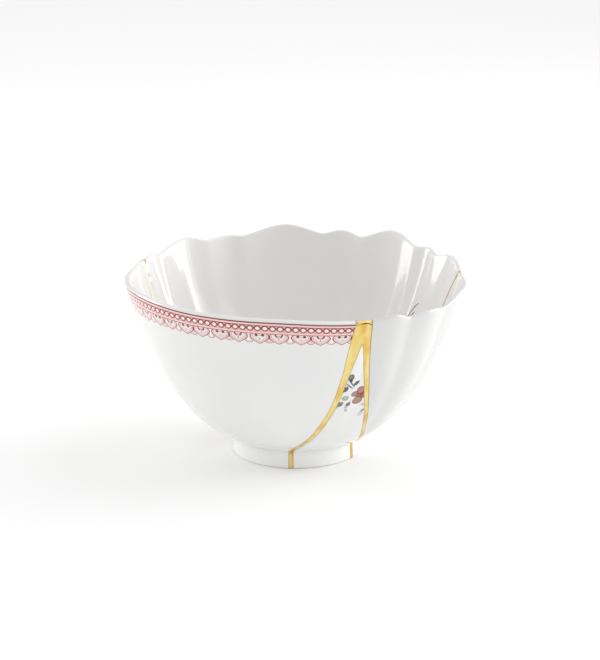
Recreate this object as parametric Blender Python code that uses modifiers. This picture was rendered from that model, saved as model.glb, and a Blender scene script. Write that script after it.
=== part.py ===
"""A footed porcelain bowl made of shards of unlike bowls, mended with gold seams.

Run with: blender --background --python part.py. Everything is at real size in metres, with +Z up and the
origin at the middle of the foot ring, on the table. Azimuths are in degrees, counted from +X towards +Y, so
that -90 faces the viewer.

Every shard is a sector of the same turned bowl. A Screw modifier turns the wall's section, and each vertex is
then moved to its place between two cracks. A crack runs from the middle of the floor, where the blow
landed, across the floor and the foot and up the wall to the rim. Gold fills the cracks.
"""

import bisect
import bmesh
import bpy
from math import cos, degrees, pi, radians, sin
from mathutils import Vector

MM = 0.001

# The turned form: radius and height of the outer face
RIM_RADIUS = 95.9 * MM
RIM_HEIGHT = 101.0 * MM
FOOT_RADIUS = 37.0 * MM
FOOT_HEIGHT = 10.0 * MM
FOOT_WIDTH = 3.6 * MM
FOOT_ROUNDING = 0.8 * MM
FOOT_RECESS = 8.8 * MM  # height of the bare underside inside the foot ring
FOOT_TAPER = 0.5 * MM  # the ring is this much narrower where the wall starts
FLARE_AT_FOOT = (25.7 * MM, 9.7 * MM)  # how far the wall runs out and up as it leaves the foot
FLARE_AT_RIM = (12.1 * MM, 48.6 * MM)  # the same, downwards from the rim

# The thickness of the porcelain
WALL_AT_FOOT = 4.6 * MM
FLOOR_THICKNESS = 3.6 * MM
SMOOTH_LIP = 3.4 * MM
FLUTED_LIP = 2.3 * MM

# The scallops of the rim: azimuth and height of each crest and hollow, in turn. The first ones, up to the
# fork of gold, are the gentle waves of the smooth rim.
RIM_WAVES = (
    (-175, 101.9), (-150, 103.2), (-125, 102.4), (-100, 102.3), (-72, 100.0), (-66, 99.0), (-57, 100.6),
    (-50, 96.9), (-41, 98.8), (-31, 95.8), (-17, 99.8), (-9, 99.2), (0, 101.4), (8, 100.2), (20, 104.7),
    (28.5, 102.0), (35, 104.3), (40.5, 103.1), (53, 109.3), (65, 103.2), (73, 106.3), (80, 103.6),
    (94, 108.9), (110, 103.3), (116, 104.4), (125.5, 103.2), (133, 106.6), (149.5, 101.8), (154, 102.6),
    (160, 102.4), (170, 101.3), (185, 101.9),
)
WAVE_REACH = 5  # the higher, the closer to the rim a wave dies out
FLUTE_DEPTH = 1.7 * MM  # the hollow below each low point of a scalloped rim
FLUTE_REACH = 1.6  # the higher, the sooner a flute dies out towards the foot
FLUTES_START = (-71, -66)  # the azimuths under the fork between which the smooth wall turns to a fluted one
FLUTES_END = (159, 162)  # the same under the left seam, where it turns smooth again
FLOOR_FLATNESS = 6  # the higher, the later the floor curves up to the wall

# The cracks: each has its azimuth at some shares of the way up the wall, where 1 is the rim and 0 is the
# foot, and then towards the middle of the floor, which is -1. The widths there are in mm.
FORK_LEFT = {
    "azimuths": ((-1, -112), (0, -94.4), (0.1, -92), (0.2, -87.8), (0.3, -82.8), (0.4, -79.3), (0.5, -76.6),
                 (0.6, -74.5), (0.7, -73.1), (0.8, -71.85), (0.85, -71.2), (0.9, -70.5), (0.92, -70),
                 (0.95, -69.65), (1, -69.35)),
    "widths": ((-1, 2.6), (0, 2.9), (0.3, 3.5), (0.6, 3.6), (0.7, 4.0), (0.8, 4.7), (0.85, 6.0), (0.9, 7.1),
               (0.92, 8.0), (0.95, 7.8), (1, 6.4)),
}
FORK_RIGHT = {
    "azimuths": ((-1, -25), (0, -32), (0.1, -39.5), (0.2, -46.3), (0.3, -51.3), (0.4, -55.3), (0.5, -58.2),
                 (0.6, -60.9), (0.7, -63), (0.8, -64.7), (0.85, -65.4), (0.9, -66.1), (0.92, -66.5),
                 (0.95, -66.6), (1, -66.75)),
    "widths": ((-1, 2.6), (0, 3.0), (0.3, 2.7), (0.6, 3.05), (0.8, 3.7), (0.85, 4.25), (0.9, 5.1),
               (0.92, 6.0), (0.95, 6.0), (1, 5.8)),
}
RIGHT_CRACK = {
    "azimuths": ((-1, 42), (0, 27), (0.5, 18), (0.85, 12), (0.94, 9.2), (1, 5.5)),
    "widths": ((-1, 2.6), (0.5, 2.6), (1, 3.0)),
}
LEFT_CRACK = {
    "azimuths": ((-1, 178), (0, 171), (0.5, 166), (0.86, 163), (1, 160.3)),
    "widths": ((-1, 2.6), (0.5, 2.6), (1, 3.0)),
}
HUB_RADIUS = 5.0 * MM  # gold fills the pit where the cracks meet
CLEARANCE = 0.3 * MM  # between gold and porcelain
GOLD_RISE = 0.2 * MM  # how far gold stands above the glaze
GOLD_OVER_TABLE = 0.1 * MM
TIP_WIDTH = 0.8 * MM  # the blunt tip of the flowered shard, under the fork

# How finely the shapes are cut: rows up the wall and over the lip, and columns round each piece
WALL_ROWS = 10
LIP_ANGLES = (68, 34)
RING_SHARES = (0.98, 0.965, 0.95, 0.935, 0.915, 0.885)  # the floor's rows over the foot ring, of its radius
FLOOR_SHARES = (0.57,)  # the floor's rows inside the ring
COLUMN_COUNTS = {"banded": 26, "flowered": 6, "fluted_front": 20, "fluted_back": 44, "fork": 8, "seam": 1}
HUB_SIDES = 20
TIP_STEP = 0.01  # the least share of the wall between a piece's top and the row below

# How far the tools that shape the fork reach past it
FORK_START = 0.6  # the fork's section starts inside the hub, at this share of its radius
CUT_START = 0.8  # and the cut between its legs here
CUT_OVERSHOOT = 0.8 * MM
HUB_OVERSHOOT = 0.4 * MM
FORK_SEARCH = (0.5, 0.95)  # the places between which the legs of the fork meet
SEARCH_STEPS = 40
FULL_TURN = 360

GLAZE = (0.86, 0.86, 0.85)
GOLD = (0.83, 0.62, 0.24)


def along(points, place):
    """The value at a place of a smooth curve through (place, value) points."""
    places = [point[0] for point in points]
    index = min(max(bisect.bisect_right(places, place), 1), len(points) - 1)
    (x0, y0), (x1, y1) = points[index - 1], points[index]
    share = min(max((place - x0) / (x1 - x0), 0), 1)

    def slope_at(i):
        before, after = points[max(i - 1, 0)], points[min(i + 1, len(points) - 1)]
        return (after[1] - before[1]) / (after[0] - before[0])

    rise_0, rise_1 = slope_at(index - 1) * (x1 - x0), slope_at(index) * (x1 - x0)
    square, cube = share * share, share ** 3
    return ((2 * cube - 3 * square + 1) * y0 + (cube - 2 * square + share) * rise_0
            + (3 * square - 2 * cube) * y1 + (cube - square) * rise_1)


def wave_at(azimuth):
    """Height of the rim at an azimuth, and how much of a hollow is there, from 0 to 1."""
    start = RIM_WAVES[0][0]
    turned = (azimuth - start) % FULL_TURN + start
    index = min(bisect.bisect_right([wave[0] for wave in RIM_WAVES], turned), len(RIM_WAVES) - 1)
    first, second = RIM_WAVES[index - 1], RIM_WAVES[index]
    share = (turned - first[0]) / (second[0] - first[0])
    low, high, from_low = (first, second, share) if first[1] < second[1] else (second, first, 1 - share)
    rounded, eased = sin(from_low * pi / 2), (1 - cos(from_low * pi)) / 2
    climb = (rounded + eased) / 2
    return (low[1] + (high[1] - low[1]) * climb) * MM, 1 - climb


def share_between(value, low, high):
    return min(max((value - low) / (high - low), 0), 1)


def fluted_share(azimuth):
    """1 on the scalloped shards, 0 on the smooth one, and in between on the gold that joins them."""
    turned = (azimuth + FULL_TURN / 2) % FULL_TURN - FULL_TURN / 2
    return share_between(turned, *FLUTES_START) * (1 - share_between(turned, *FLUTES_END))


def wall_curve(share):
    """Point, and unit direction upwards, of the outer face at a share of the way from foot to rim."""
    foot = Vector((FOOT_RADIUS - FOOT_TAPER, FOOT_HEIGHT))
    rim = Vector((RIM_RADIUS, RIM_HEIGHT))
    low, high = foot + Vector(FLARE_AT_FOOT), rim - Vector(FLARE_AT_RIM)
    rest = 1 - share
    point = (rest ** 3 * foot + 3 * rest ** 2 * share * low + 3 * rest * share ** 2 * high
             + share ** 3 * rim)
    along_wall = rest ** 2 * (low - foot) + 2 * rest * share * (high - low) + share ** 2 * (rim - high)
    return point, along_wall.normalized()


def wall_point(share, azimuth, depth, rise, proud):
    """Radius and height in the wall: depth 0 is the outer face and 1 the inner one, rise is into the lip."""
    point, upward = wall_curve(share)
    outward = Vector((upward.y, -upward.x))
    rim_height, hollow = wave_at(azimuth)
    fluted = fluted_share(azimuth)
    lip = SMOOTH_LIP + (FLUTED_LIP - SMOOTH_LIP) * fluted
    thickness = WALL_AT_FOOT + (lip - WALL_AT_FOOT) * (1 - (1 - share) ** 2)
    lift = rim_height - RIM_HEIGHT - lip / 2
    point = point + upward * (lift / upward.y * share ** WAVE_REACH)
    point = point - outward * (FLUTE_DEPTH * hollow * fluted * share ** FLUTE_REACH)
    point = point - outward * (thickness * depth) + outward * (proud * (1 - 2 * depth))
    return point + upward * (rise * (thickness / 2 + proud))


def floor_radius():
    """Radius of the inside at the foot of the wall, where the floor starts."""
    return wall_point(0, 0, 1, 0, 0).x


def floor_point(share, proud):
    """Point of the floor at a share of its radius."""
    edge = wall_point(0, 0, 1, 0, 0)
    middle = FOOT_RECESS + FLOOR_THICKNESS
    return Vector((edge.x * share, middle + (edge.y - middle) * share ** FLOOR_FLATNESS + proud))


def foot_rows(hub_share, proud):
    """Pairs of an under point and a floor point, from the foot of the wall to the middle.

    A crack runs straight through the foot ring, so its rows all have place 0.
    """
    outer, inner = FOOT_RADIUS, FOOT_RADIUS - FOOT_WIDTH
    out, back, down = Vector((proud, 0)), Vector((-proud, 0)), Vector((0, -proud))
    ring = (
        Vector((outer, FOOT_ROUNDING)) + out,
        Vector((outer - FOOT_ROUNDING, 0)) + down,
        Vector((inner + FOOT_ROUNDING, 0)) + down,
        Vector((inner, FOOT_ROUNDING)) + back,
        Vector((inner - FOOT_ROUNDING / 2, FOOT_RECESS - FOOT_ROUNDING)) + back,
        Vector((inner - 2 * FOOT_ROUNDING, FOOT_RECESS)) + down,
    )
    rows = [(0, under, floor_point(share, proud)) for under, share in zip(ring, RING_SHARES)]
    for share in FLOOR_SHARES + (hub_share,):
        under = Vector((floor_radius() * share, FOOT_RECESS)) + down
        rows.append((share - 1, under, floor_point(share, proud)))
    return rows


def section(azimuth, top, hub_share, proud):
    """The wall's section: rows of (place along the crack, outer point, inner point), from the top down."""
    rows = []
    if top == 1:
        for angle in LIP_ANGLES:
            pinch, rise = (1 - cos(radians(angle))) / 2, sin(radians(angle))
            rows.append((1, wall_point(1, azimuth, pinch, rise, proud),
                         wall_point(1, azimuth, 1 - pinch, rise, proud)))
    steps = [step / WALL_ROWS for step in range(WALL_ROWS) if step / WALL_ROWS < top - TIP_STEP]
    for share in [top] + steps[::-1]:
        rows.append((share, wall_point(share, azimuth, 0, 0, proud), wall_point(share, azimuth, 1, 0, proud)))
    return rows + foot_rows(hub_share, proud)


def crack_radius(place):
    """Radius at which a crack's width is laid off."""
    return wall_curve(place)[0].x if place >= 0 else floor_radius() * (1 + place)


def crack_side(crack, side, inset):
    """Azimuth of one side of a crack as a function of the place along it; inset is into the crack."""
    def azimuth(place):
        half = along(crack["widths"], place) * MM / 2 - inset
        return along(crack["azimuths"], place) + side * degrees(half / crack_radius(place))
    return azimuth


def tip_place(width):
    """Place under the fork where the gap between its legs is this wide."""
    low, high = FORK_SEARCH
    left, right = crack_side(FORK_LEFT, 1, 0), crack_side(FORK_RIGHT, -1, 0)
    for _ in range(SEARCH_STEPS):
        middle = (low + high) / 2
        gap = radians(right(middle) - left(middle)) * crack_radius(middle)
        low, high = (middle, high) if gap > width else (low, middle)
    return low


def make_material(name, colour, roughness, metallic):
    material = bpy.data.materials.new(name)
    material.use_nodes = True
    shader = material.node_tree.nodes["Principled BSDF"]
    shader.inputs["Base Color"].default_value = (*colour, 1)
    shader.inputs["Roughness"].default_value = roughness
    shader.inputs["Metallic"].default_value = metallic
    return material


def turn_section(name, rows, columns):
    """A mesh object with the section's outline turned through one radian by a Screw modifier."""
    outline = [row[1] for row in rows] + [row[2] for row in reversed(rows)]
    mesh = bpy.data.meshes.new(name)
    count = len(outline)
    mesh.from_pydata([(point.x, 0, point.y) for point in outline],
                     [(i, (i + 1) % count) for i in range(count)], [])
    profile = bpy.data.objects.new(name, mesh)
    bpy.context.scene.collection.objects.link(profile)
    screw = profile.modifiers.new("Turn", "SCREW")
    screw.angle = 1
    screw.steps = screw.render_steps = columns
    screw.use_merge_vertices = False
    turned = bpy.data.meshes.new_from_object(profile.evaluated_get(bpy.context.evaluated_depsgraph_get()))
    profile.modifiers.clear()
    profile.data = turned
    bpy.data.meshes.remove(mesh)
    return profile


def sector(name, left, right, columns, top=1, hub=HUB_RADIUS, proud=0, lowest=0):
    """A closed sector of the bowl between two sides, each a function from a place to an azimuth."""
    hub_share = hub / floor_radius()
    rows = section(0, top, hub_share, proud)
    piece = turn_section(name, rows, columns)
    count = 2 * len(rows)
    shape = bmesh.new()
    shape.from_mesh(piece.data)
    shape.verts.ensure_lookup_table()
    for column in range(columns + 1):
        for k in range(count):
            row, inside = (k, False) if k < len(rows) else (count - 1 - k, True)
            place = rows[row][0]
            azimuth = left(place) + (right(place) - left(place)) * column / columns
            point = section(azimuth, top, hub_share, proud)[row][2 if inside else 1]
            turn = radians(azimuth)
            height = max(point.y, lowest)
            shape.verts[column * count + k].co = (point.x * cos(turn), point.x * sin(turn), height)
    for column in (0, columns):
        for row in range(len(rows) - 1):
            ring = [shape.verts[column * count + k] for k in (row, row + 1, count - 2 - row, count - 1 - row)]
            shape.faces.new(ring)
    bmesh.ops.triangulate(shape, faces=shape.faces, quad_method="FIXED")
    bmesh.ops.recalc_face_normals(shape, faces=shape.faces)
    if shape.calc_volume(signed=True) < 0:
        bmesh.ops.reverse_faces(shape, faces=shape.faces)
    shape.to_mesh(piece.data)
    shape.free()
    return piece


def move_to(piece, collection, material=None):
    for holder in piece.users_collection:
        holder.objects.unlink(piece)
    collection.objects.link(piece)
    if material:
        piece.data.materials.clear()
        piece.data.materials.append(material)


def combine(piece, tool, operation):
    boolean = piece.modifiers.new(tool.name, "BOOLEAN")
    boolean.operation = operation
    boolean.solver = "EXACT"
    boolean.object = tool


def make_shards(collection):
    """Four pieces of porcelain, each between two cracks."""
    hub = HUB_RADIUS + CLEARANCE

    def banded_end(place):
        return crack_side(FORK_LEFT, -1, 0)(place) + FULL_TURN

    shards = (
        ("banded", crack_side(LEFT_CRACK, 1, 0), banded_end, 1),
        ("flowered", crack_side(FORK_LEFT, 1, 0), crack_side(FORK_RIGHT, -1, 0), tip_place(TIP_WIDTH)),
        ("fluted_front", crack_side(FORK_RIGHT, 1, 0), crack_side(RIGHT_CRACK, -1, 0), 1),
        ("fluted_back", crack_side(RIGHT_CRACK, 1, 0), crack_side(LEFT_CRACK, -1, 0), 1),
    )
    for name, left, right, top in shards:
        shard = sector(name + "_shard", left, right, COLUMN_COUNTS[name], top=top, hub=hub)
        move_to(shard, collection, make_material(name + "_glaze", GLAZE, 0.12, 0.0))


def make_fork(collection, tools):
    """The forked seam at the front with the hub that it grows from, less the flowered shard's place."""
    outer_left, outer_right = crack_side(FORK_LEFT, -1, CLEARANCE), crack_side(FORK_RIGHT, 1, CLEARANCE)
    inner_left, inner_right = crack_side(FORK_LEFT, 1, CLEARANCE), crack_side(FORK_RIGHT, -1, CLEARANCE)
    fork = sector("gold_fork_seam", outer_left, outer_right, COLUMN_COUNTS["fork"],
                  hub=HUB_RADIUS * FORK_START, proud=GOLD_RISE, lowest=GOLD_OVER_TABLE)
    move_to(fork, collection, make_material("gold_fork_lacquer", GOLD, 0.25, 1.0))
    place = sector("flowered_place", inner_left, inner_right, COLUMN_COUNTS["flowered"],
                   top=tip_place(TIP_WIDTH / 2), hub=HUB_RADIUS * CUT_START, proud=CUT_OVERSHOOT,
                   lowest=-FOOT_HEIGHT)
    bottom, top = FOOT_RECESS - HUB_OVERSHOOT, FOOT_RECESS + FLOOR_THICKNESS + HUB_OVERSHOOT
    bpy.ops.mesh.primitive_cylinder_add(vertices=HUB_SIDES, radius=HUB_RADIUS, depth=top - bottom,
                                        location=(0, 0, (top + bottom) / 2))
    hub = bpy.context.object
    hub.name = "hub"
    for tool in (place, hub):
        move_to(tool, tools)
        tool.hide_render = True
        tool.display_type = "WIRE"
    combine(fork, place, "DIFFERENCE")
    combine(fork, hub, "UNION")


def make_side_seams(collection):
    """The seams that cross the rim at the right and at the left."""
    for name, crack in (("gold_right_seam", RIGHT_CRACK), ("gold_left_seam", LEFT_CRACK)):
        left, right = crack_side(crack, -1, CLEARANCE), crack_side(crack, 1, CLEARANCE)
        seam = sector(name, left, right, COLUMN_COUNTS["seam"], hub=HUB_RADIUS + CLEARANCE, proud=GOLD_RISE,
                      lowest=GOLD_OVER_TABLE)
        move_to(seam, collection, make_material(name + "_lacquer", GOLD, 0.25, 1.0))


def main():
    for old in list(bpy.data.objects):
        bpy.data.objects.remove(old, do_unlink=True)
    bowl = bpy.data.collections.new("kintsugi_bowl")
    tools = bpy.data.collections.new("cutting_tools")
    bpy.context.scene.collection.children.link(bowl)
    bpy.context.scene.collection.children.link(tools)
    make_shards(bowl)
    make_fork(bowl, tools)
    make_side_seams(bowl)


main()
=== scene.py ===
"""The looks of a kintsugi bowl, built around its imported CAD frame.

Every shard and seam is laid out first as a closed slab. Its points know their azimuth, their place between
the middle of the floor (-1), the foot (0) and the rim (1), and their depth in the wall, from the outer face
(0) to the inner face (1). One Geometry Nodes tree then bends each slab to the turned, fluted and scalloped
bowl. Azimuths are in degrees, counted from +X towards +Y.
"""

import bisect
from math import cos, degrees, hypot, pi, radians, sin, sqrt

import bmesh
import bpy
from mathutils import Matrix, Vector


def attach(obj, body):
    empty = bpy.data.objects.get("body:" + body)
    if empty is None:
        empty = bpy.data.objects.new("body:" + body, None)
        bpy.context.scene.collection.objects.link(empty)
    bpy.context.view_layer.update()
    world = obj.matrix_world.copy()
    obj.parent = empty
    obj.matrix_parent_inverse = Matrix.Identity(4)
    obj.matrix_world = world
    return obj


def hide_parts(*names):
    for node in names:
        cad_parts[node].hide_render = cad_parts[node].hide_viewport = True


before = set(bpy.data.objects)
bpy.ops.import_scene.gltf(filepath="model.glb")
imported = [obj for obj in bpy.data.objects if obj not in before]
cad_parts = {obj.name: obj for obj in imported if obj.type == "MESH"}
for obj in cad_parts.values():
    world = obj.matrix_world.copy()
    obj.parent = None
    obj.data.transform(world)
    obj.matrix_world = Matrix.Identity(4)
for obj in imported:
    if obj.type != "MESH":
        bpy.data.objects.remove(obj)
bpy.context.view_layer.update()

MM = 0.001

# Sizes and lines that part.py has too. Two things depart from it here. The rim's waves from -31 to 20 degrees
# are smoother, as in the photograph, which moves the lip by up to 1.8 mm. The side seams draw in on their way
# through the wall.
RIM_RADIUS = 95.9 * MM
RIM_HEIGHT = 101.0 * MM
FOOT_RADIUS = 37.0 * MM
FOOT_HEIGHT = 10.0 * MM
FOOT_WIDTH = 3.6 * MM
FOOT_ROUNDING = 0.8 * MM
FOOT_RECESS = 8.8 * MM
FOOT_TAPER = 0.5 * MM
FLARE_AT_FOOT = (25.7 * MM, 9.7 * MM)
FLARE_AT_RIM = (12.1 * MM, 48.6 * MM)
WALL_AT_FOOT = 4.6 * MM
FLOOR_THICKNESS = 3.6 * MM
SMOOTH_LIP = 3.4 * MM
FLUTED_LIP = 2.3 * MM
RIM_WAVES = (  # azimuth and height in mm of each top and hollow in turn
    (-175, 101.9), (-150, 103.2), (-125, 102.4), (-100, 102.3), (-72, 100.0), (-66, 99.0), (-57, 100.6),
    (-50, 96.9), (-41, 98.8), (-31, 95.8), (-16, 101.0), (4, 100.3), (20, 104.7),
    (28.5, 102.0), (35, 104.3), (40.5, 103.1), (53, 109.3), (65, 103.2), (73, 106.3), (80, 103.6),
    (94, 108.9), (110, 103.3), (116, 104.4), (125.5, 103.2), (133, 106.6), (149.5, 101.8), (154, 102.6),
    (160, 102.4), (170, 101.3), (185, 101.9),
)
WAVE_REACH = 5  # power of the place: the higher, the nearer to the rim the waves stay
FLUTE_DEPTH = 1.7 * MM
FLUTE_REACH = 1.6  # the same of the flutes

# The seams: azimuth in degrees and width in mm by the place between floor and rim
FORK_LEFT = {
    "azimuths": ((-1, -112), (0, -94.4), (0.1, -92), (0.2, -87.8), (0.3, -82.8), (0.4, -79.3), (0.5, -76.6),
                 (0.6, -74.5), (0.7, -73.1), (0.8, -71.85), (0.85, -71.2), (0.9, -70.5), (0.92, -70),
                 (0.95, -69.65), (1, -69.35)),
    "widths": ((-1, 2.6), (0, 2.9), (0.3, 3.5), (0.6, 3.6), (0.7, 4.0), (0.8, 4.7), (0.85, 6.0), (0.9, 7.1),
               (0.92, 8.0), (0.95, 7.8), (1, 6.4)),
}
FORK_RIGHT = {
    "azimuths": ((-1, -25), (0, -32), (0.1, -39.5), (0.2, -46.3), (0.3, -51.3), (0.4, -55.3), (0.5, -58.2),
                 (0.6, -60.9), (0.7, -63), (0.8, -64.7), (0.85, -65.4), (0.9, -66.1), (0.92, -66.5),
                 (0.95, -66.6), (1, -66.75)),
    "widths": ((-1, 2.6), (0, 3.0), (0.3, 2.7), (0.6, 3.05), (0.8, 3.7), (0.85, 4.25), (0.9, 5.1),
               (0.92, 6.0), (0.95, 6.0), (1, 5.8)),
}
SEAM_TAPER = 0.55 * MM  # how much a side seam draws in at each side
RIGHT_CRACK = {
    "taper": SEAM_TAPER,
    "azimuths": ((-1, 42), (0, 27), (0.5, 18), (0.85, 12), (0.94, 9.2), (1, 5.5)),
    "widths": ((-1, 2.6), (0.5, 2.6), (1, 3.0)),
}
LEFT_CRACK = {
    "taper": SEAM_TAPER,
    "azimuths": ((-1, 178), (0, 171), (0.5, 166), (0.86, 163), (1, 160.3)),
    "widths": ((-1, 2.6), (0.5, 2.6), (1, 3.0)),
}
HUB_RADIUS = 5.0 * MM
CLEARANCE = 0.3 * MM
GOLD_RISE = 0.2 * MM

# The finer sizes that only the looks have
HUB_STEPS = 48
SEAM_START = 0.8 * HUB_RADIUS  # the seams run in under the hub's edge
# The hub's profile: share of its radius and rise in mm
HUB_CROWN = ((0, 0.42), (0.35, 0.40), (0.65, 0.32), (0.85, 0.20), (0.95, 0.08), (1, -0.08))
JOINT_LINE = 0.02 * MM  # what is left open between gold and glaze
GOLD_EDGE = 0.5 * MM  # width over which the gold swells from its edge
GOLD_SINK = 0.06 * MM  # how far its edge lies below the glaze
GOLD_UNEVEN = 0.03 * MM
GOLD_OFF_GROUND = 0.05 * MM  # the gold under the foot ring stays this far above the ground
CORNER_GLAZE = 1.1 * MM  # glaze pooled in the corner above the foot
CORNER_REACH = 0.04  # the place up to which it is pooled
RECESS_ROUNDING = 1.2 * FOOT_ROUNDING
FLAT_SHARE = 0.87  # share of the floor that lies over the recess of the foot
RING_SHARES = (0.885, 0.105)  # where the floor over the foot ring starts, and how far it goes on
ROW_GAP = 0.004  # rows that come nearer than this to a crotch or a top are left out
WALL_ROWS = 64
FLAT_ROWS = 9
LAYERS = 8
COLUMNS = {"banded": 110, "flowered": 18, "fluted_front": 70, "fluted_back": 150, "leg": 6, "seam": 6}

# The short gold line inside, which doesn't reach the rim, and a dab beside it: place, azimuth and half width
# in mm
INNER_CRACK = ((0.20, 45.0, 0.4), (0.40, 41.0, 0.45), (0.60, 38.0, 0.45), (0.725, 34.8, 0.4),
               (0.746, 33.8, 0.45), (0.767, 32.7, 0.55), (0.786, 30.9, 0.45))
INNER_DAB = ((0.718, 33.7, 0.4), (0.73, 32.7, 0.6), (0.741, 31.8, 0.4))
RIDGE_HEIGHT = 0.12 * MM
RIDGE_DEPTH = 0.95  # how deep in the wall its hidden side lies

# The border's rows below the lip and its repeats along the rim, all in mm
LINE_DOWN = -0.3
BEAD_MIDDLE = 3.0
BEAD_REACH = 1.6
BEAD_RADIUS = 1.05
HEART_TOP = 6.1
HEART_LENGTH = 5.95
HEART_PITCH = 10.91
HEART_HALF_WIDTH = 5.1
SHOULDER = 1.9  # depth at which a heart is widest
SCALE_HALF_WIDTH = 2.4
SCALE_MIDDLE = 3.4
SCALE_BOTTOM = 5.5
BEAD_PITCH = HEART_PITCH * 4 / 11
KNOT_TURN = 459.9  # where two hearts meet, along the rim from +X
SPRIG_AZIMUTH = -66.0

# The brown fold of the gold over the lip arches: how far below the lip it is, and how far from the right side
# of the gold it is highest, in mm
LIP_FOLD = -0.6
FOLD_MIDDLE = 4.2
LIP_CROWN = -1.1  # above this the gold lies on top of the lip

# The photograph's view from the front: elevation in degrees, distance, focal length in image heights
ELEVATION = 16.32
DISTANCE = 0.940
FOCAL_SHARE = 1662.7 / 660
AIM = Vector((2.2 * MM, 0, 69.6 * MM))
SENSOR_WIDTH = 36

# The studio: soft boxes (azimuth, width in m, power in W) and far screens (direction, strength)
BOX_DISTANCE = 1.5
BOX_HEIGHT = 0.75
BOX_MIDDLE = 0.4
BOXES = {"right_box": (5, 0.62, 2.1), "back_box": (22, 1.1, 10.0), "left_box": (161, 0.7, 6.4)}
SCREEN_SPREAD = radians(60)
SCREENS = {
    "right_screen": ((1, 0.12, 1), 0.58),
    "left_screen": ((-1, 0, 1), 0.20),
    "back_screen": ((0, 1, 1), 0.20),
}
AIR_STRENGTH = 0.67
FLOOR_REACH = 4.0
FLOOR_GLOW = 0.05


def colour(*values):
    """A colour as a screen shows it, from 0 to 255, as the linear values that shaders take."""
    shares = [value / 255 for value in values]
    lights = [share / 12.92 if share <= 0.04045 else ((share + 0.055) / 1.055) ** 2.4 for share in shares]
    return (*lights, 1)


DARK_RED = colour(108, 2, 14)
MID_RED = colour(196, 74, 88)
PALE_PINK = colour(253, 205, 200)
BEAD_WHITE = colour(255, 240, 234)
HEART_FILL = colour(240, 230, 228)
MAUVE = colour(146, 48, 66)
GLAZE_WHITE = colour(240, 240, 238)
# Pooled glaze in the crease above the foot, greyer, and partly painted crease shade
GLAZE_POOL_AND_SHADE = colour(226, 230, 229)
GLAZE_CLOUD = colour(236, 237, 236)
# Painted shade: the scalloped shards' outer glaze is greyer, standing in for the shade on the fluted outside
# of the bowl
FLUTED_SHADED_WHITE = colour(222, 222, 220)
FLUTED_SHADED_CLOUD = colour(218, 219, 218)
# Painted light: a whiter glaze on the foot, to brighten it where it lies in the bowl's shade
FOOT_PAINTED_LIGHT = colour(251, 251, 250)
INNER_WHITE = colour(240, 239, 237)
STAINED_EDGE = colour(176, 158, 132)
BISCUIT = colour(222, 214, 200)
GOLD_DEEP = colour(226, 188, 90)
GOLD_PALE = colour(240, 220, 150)
GOLD_BROWN = colour(112, 76, 30)
GOLD_AMBER = colour(204, 150, 66)
GOLD_CROWN = colour(222, 200, 158)
GOLD_SHADED = colour(128, 108, 66)


# Lines of the bowl

def along(points, place):
    """The value at a place of a smooth curve through (place, value) points."""
    places = [point[0] for point in points]
    index = min(max(bisect.bisect_right(places, place), 1), len(points) - 1)
    (x0, y0), (x1, y1) = points[index - 1], points[index]
    share = min(max((place - x0) / (x1 - x0), 0), 1)

    def slope_at(i):
        before, after = points[max(i - 1, 0)], points[min(i + 1, len(points) - 1)]
        return (after[1] - before[1]) / (after[0] - before[0])

    rise_0, rise_1 = slope_at(index - 1) * (x1 - x0), slope_at(index) * (x1 - x0)
    square, cube = share * share, share ** 3
    return ((2 * cube - 3 * square + 1) * y0 + (cube - 2 * square + share) * rise_0
            + (3 * square - 2 * cube) * y1 + (cube - square) * rise_1)


def wave_at(azimuth):
    """Height of the rim at an azimuth, and how much of a hollow is there, from 0 to 1."""
    turned = (azimuth + 175) % 360 - 175
    index = min(bisect.bisect_right([wave[0] for wave in RIM_WAVES], turned), len(RIM_WAVES) - 1)
    first, second = RIM_WAVES[index - 1], RIM_WAVES[index]
    share = (turned - first[0]) / (second[0] - first[0])
    low, high, from_low = (first, second, share) if first[1] < second[1] else (second, first, 1 - share)
    climb = 0.5 * sin(from_low * pi / 2) + 0.25 * (1 - cos(from_low * pi))
    return (low[1] + (high[1] - low[1]) * climb) * MM, 1 - climb


def fluted_share(azimuth):
    """1 on the scalloped shards, 0 on the smooth one, and in between on the gold that joins them."""
    turned = (azimuth + 180) % 360 - 180
    at_fork = min(max((turned + 71) / 5, 0), 1)
    at_left = min(max((162 - turned) / 3, 0), 1)
    return at_fork * at_left


def wall_line(share):
    """Point of the outer face at a share of the way from foot to rim."""
    foot = Vector((FOOT_RADIUS - FOOT_TAPER, FOOT_HEIGHT))
    rim = Vector((RIM_RADIUS, RIM_HEIGHT))
    low, high = foot + Vector(FLARE_AT_FOOT), rim - Vector(FLARE_AT_RIM)
    rest = 1 - share
    return (rest ** 3 * foot + 3 * rest ** 2 * share * low + 3 * rest * share ** 2 * high + share ** 3 * rim)


def floor_edge():
    """Point of the inner face at the foot of the wall, where the floor starts."""
    direction = Vector(FLARE_AT_FOOT).normalized()
    return wall_line(0) + WALL_AT_FOOT * Vector((-direction.y, direction.x))


def floor_point(share):
    """Point of the inner face at a share of the floor's radius."""
    edge = floor_edge()
    middle = FOOT_RECESS + FLOOR_THICKNESS
    return Vector((edge.x * share, middle + (edge.y - middle) * share ** 6))


def crack_radius(place):
    """Radius at which the width of a crack is measured."""
    return wall_line(place).x if place >= 0 else floor_edge().x * (1 + place)


def crack_side(crack, side, inset):
    """Azimuth of the left (-1) or right (1) side of a crack, drawn in by the inset, as a function.

    The function takes the place along the crack and the depth in the wall.
    """
    def azimuth(place, depth=0):
        half = along(crack["widths"], place) * MM / 2 - inset - crack.get("taper", 0) * depth
        return along(crack["azimuths"], place) + side * degrees(half / crack_radius(place))
    return azimuth


def fork_gap(place):
    """Width left between the legs of the fork, which is negative above it."""
    left, right = crack_side(FORK_LEFT, 1, 0), crack_side(FORK_RIGHT, -1, 0)
    return radians(right(place) - left(place)) * crack_radius(place)


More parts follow.
